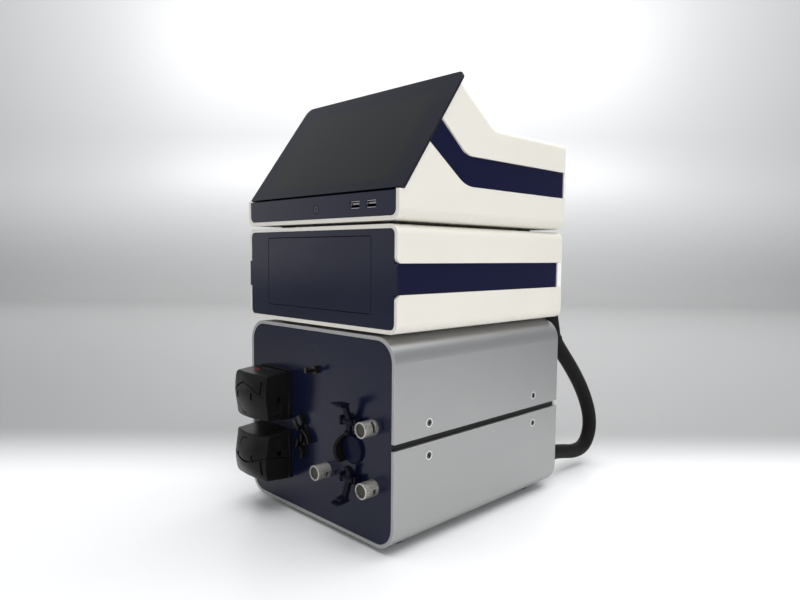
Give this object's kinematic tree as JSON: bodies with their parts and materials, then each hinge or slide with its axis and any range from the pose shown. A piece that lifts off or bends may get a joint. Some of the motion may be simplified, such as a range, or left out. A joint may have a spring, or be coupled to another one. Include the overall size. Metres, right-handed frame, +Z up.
{
  "type": "electroporator",
  "caption": "Bench electroporator stack: sloped touchscreen unit over a white drawer unit over a silver pump unit with pump heads, pinch valves and a cartridge clamp.",
  "frame": {"origin": "on the bench under the middle of the footprint, cable left out", "axes": "+X to the right as seen from the front, +Y from the front panel to the back, +Z up"},
  "size_m": [0.262, 0.473, 0.482],
  "materials": {
    "silver_cover": "satin silver-grey coating",
    "black_sheet": "matt black",
    "navy_panel": "satin navy",
    "navy_sheet": "satin navy",
    "white_housing": "fine satin texture, warm white",
    "white_panel": "satin white",
    "silver_panel": "satin silver-grey coating",
    "fastener_steel": "satin steel",
    "foot_rubber": "matt black rubber",
    "pump_black": "fine satin texture, black",
    "rotor_steel": "turned steel",
    "roller_white": "smooth acetal",
    "motor_case": "dark grey",
    "valve_sleeve": "fine turned satin",
    "valve_plunger": "dark satin",
    "coil_black": "matt black",
    "contact_navy": "satin navy",
    "clip_black": "satin black",
    "hook_steel": "dark satin steel",
    "guide_grey": "dark grey, fine texture",
    "cable_sleeve": "black braided sleeve",
    "cable_black": "satin black moulding",
    "screen_glass": "black-backed polished glass",
    "display": "dark display panel",
    "tray_plastic": "dark grey",
    "socket_steel": "bright steel",
    "inlet_black": "matt black",
    "rocker_black": "gloss black",
    "board_green": "solder-resist green"
  },
  "bodies": {
    "stack": {"cable_gland": "cable_black", "cartridge_guard": "guide_grey", "clip_brackets": "clip_black", "clip_pins": "fastener_steel", "contact_disc": "contact_navy", "contact_head": "tray_plastic", "control_board": "board_green", "display_module": "display", "drawer_rails": "tray_plastic", "front_strip": "navy_panel", "link_cable": "cable_sleeve", "link_cable_plug": "cable_black", "lower_left_valve_sleeve": "valve_sleeve", "lower_pump_body": "pump_black", "lower_right_valve_sleeve": "valve_sleeve", "lower_unit_bottom_cover": "silver_cover", "lower_unit_chassis": "black_sheet", "lower_unit_feet": "foot_rubber", "lower_unit_front_panel": "navy_panel", "lower_unit_rear_panel": "silver_panel", "lower_unit_screws": "fastener_steel", "lower_unit_top_cover": "silver_cover", "middle_unit_bottom_cover": "white_housing", "middle_unit_chassis": "navy_sheet", "middle_unit_front_panel": "navy_panel", "middle_unit_rear_panel": "white_panel", "middle_unit_top_cover": "white_housing", "power_inlet": "inlet_black", "pump_motors": "motor_case", "screen_glass": "screen_glass", "stacking_pads": "foot_rubber", "tube_hook": "hook_steel", "tube_junction_holder": "guide_grey", "upper_pump_body": "pump_black", "upper_right_valve_sleeve": "valve_sleeve", "upper_unit_bottom_cover": "white_housing", "upper_unit_chassis": "navy_sheet", "upper_unit_rear_panel": "white_panel", "upper_unit_top_cover": "white_housing", "usb_sockets": "socket_steel", "valve_solenoids": "coil_black"},
    "drawer": {"drawer_front": "navy_panel", "drawer_tray": "tray_plastic"},
    "upper_lid": {"upper_pump_lid": "pump_black"},
    "upper_rotor": {"upper_pump_rotor": "rotor_steel"},
    "upper_roller_1": {"upper_pump_roller_1": "roller_white"},
    "upper_roller_2": {"upper_pump_roller_2": "roller_white"},
    "upper_roller_3": {"upper_pump_roller_3": "roller_white"},
    "lower_lid": {"lower_pump_lid": "pump_black"},
    "lower_rotor": {"lower_pump_rotor": "rotor_steel"},
    "lower_roller_1": {"lower_pump_roller_1": "roller_white"},
    "lower_roller_2": {"lower_pump_roller_2": "roller_white"},
    "lower_roller_3": {"lower_pump_roller_3": "roller_white"},
    "upper_right_plunger": {"upper_right_valve_plunger": "valve_plunger"},
    "lower_right_plunger": {"lower_right_valve_plunger": "valve_plunger"},
    "lower_left_plunger": {"lower_left_valve_plunger": "valve_plunger"},
    "upper_clip": {"upper_clip_lever": "clip_black"},
    "lower_clip": {"lower_clip_lever": "clip_black"},
    "rocker": {"power_rocker": "rocker_black"},
    "button": {"standby_button": "navy_panel"}
  },
  "joints": [
    {"name": "drawer_slide", "type": "slide", "parent": "stack", "child": "drawer", "axis": [0, -1, 0], "range_m": [0, 0.11]},
    {"name": "upper_lid_hinge", "type": "hinge", "parent": "stack", "child": "upper_lid", "pos_m": [-0.074, -0.13274, 0.1586], "axis": [-1, 0, 0], "range_deg": [0, 90]},
    {"name": "upper_rotor_spin", "type": "hinge", "parent": "stack", "child": "upper_rotor", "pos_m": [-0.074, -0.14064, 0.1324], "axis": [0, 1, 0], "continuous": true},
    {"name": "upper_roller_1_spin", "type": "hinge", "parent": "upper_rotor", "child": "upper_roller_1", "pos_m": [-0.074, -0.14064, 0.1429], "axis": [0, 1, 0], "continuous": true},
    {"name": "upper_roller_2_spin", "type": "hinge", "parent": "upper_rotor", "child": "upper_roller_2", "pos_m": [-0.08309, -0.14064, 0.12715], "axis": [0, 1, 0], "continuous": true},
    {"name": "upper_roller_3_spin", "type": "hinge", "parent": "upper_rotor", "child": "upper_roller_3", "pos_m": [-0.06491, -0.14064, 0.12715], "axis": [0, 1, 0], "continuous": true},
    {"name": "lower_lid_hinge", "type": "hinge", "parent": "stack", "child": "lower_lid", "pos_m": [-0.074, -0.13274, 0.0437], "axis": [1, 0, 0], "range_deg": [0, 90]},
    {"name": "lower_rotor_spin", "type": "hinge", "parent": "stack", "child": "lower_rotor", "pos_m": [-0.074, -0.14064, 0.0699], "axis": [0, 1, 0], "continuous": true},
    {"name": "lower_roller_1_spin", "type": "hinge", "parent": "lower_rotor", "child": "lower_roller_1", "pos_m": [-0.074, -0.14064, 0.0594], "axis": [0, 1, 0], "continuous": true},
    {"name": "lower_roller_2_spin", "type": "hinge", "parent": "lower_rotor", "child": "lower_roller_2", "pos_m": [-0.08309, -0.14064, 0.07515], "axis": [0, 1, 0], "continuous": true},
    {"name": "lower_roller_3_spin", "type": "hinge", "parent": "lower_rotor", "child": "lower_roller_3", "pos_m": [-0.06491, -0.14064, 0.07515], "axis": [0, 1, 0], "continuous": true},
    {"name": "upper_right_plunger_slide", "type": "slide", "parent": "stack", "child": "upper_right_plunger", "axis": [0, 1, 0], "range_m": [0, 0.0035], "stiffness_N_per_m": 800, "springref_m": -0.002},
    {"name": "lower_right_plunger_slide", "type": "slide", "parent": "stack", "child": "lower_right_plunger", "axis": [0, 1, 0], "range_m": [0, 0.0035], "stiffness_N_per_m": 800, "springref_m": -0.002},
    {"name": "lower_left_plunger_slide", "type": "slide", "parent": "stack", "child": "lower_left_plunger", "axis": [0, 1, 0], "range_m": [0, 0.0035], "stiffness_N_per_m": 800, "springref_m": -0.002},
    {"name": "upper_clip_hinge", "type": "hinge", "parent": "stack", "child": "upper_clip", "pos_m": [0.0665, -0.13064, 0.1266], "axis": [-1, 0, 0], "range_deg": [0, 12], "stiffness_Nm_per_rad": 0.5, "springref_deg": -8.59},
    {"name": "lower_clip_hinge", "type": "hinge", "parent": "stack", "child": "lower_clip", "pos_m": [0.0665, -0.13064, 0.0674], "axis": [1, 0, 0], "range_deg": [0, 12], "stiffness_Nm_per_rad": 0.5, "springref_deg": -8.59},
    {"name": "power_rocker_hinge", "type": "hinge", "parent": "stack", "child": "rocker", "pos_m": [-0.052, 0.16086, 0.352], "axis": [1, 0, 0], "range_deg": [0, 14]},
    {"name": "standby_button_press", "type": "slide", "parent": "stack", "child": "button", "axis": [0, 1, 0], "range_m": [0, 0.0008], "stiffness_N_per_m": 600, "springref_m": -0.001}
  ]
}
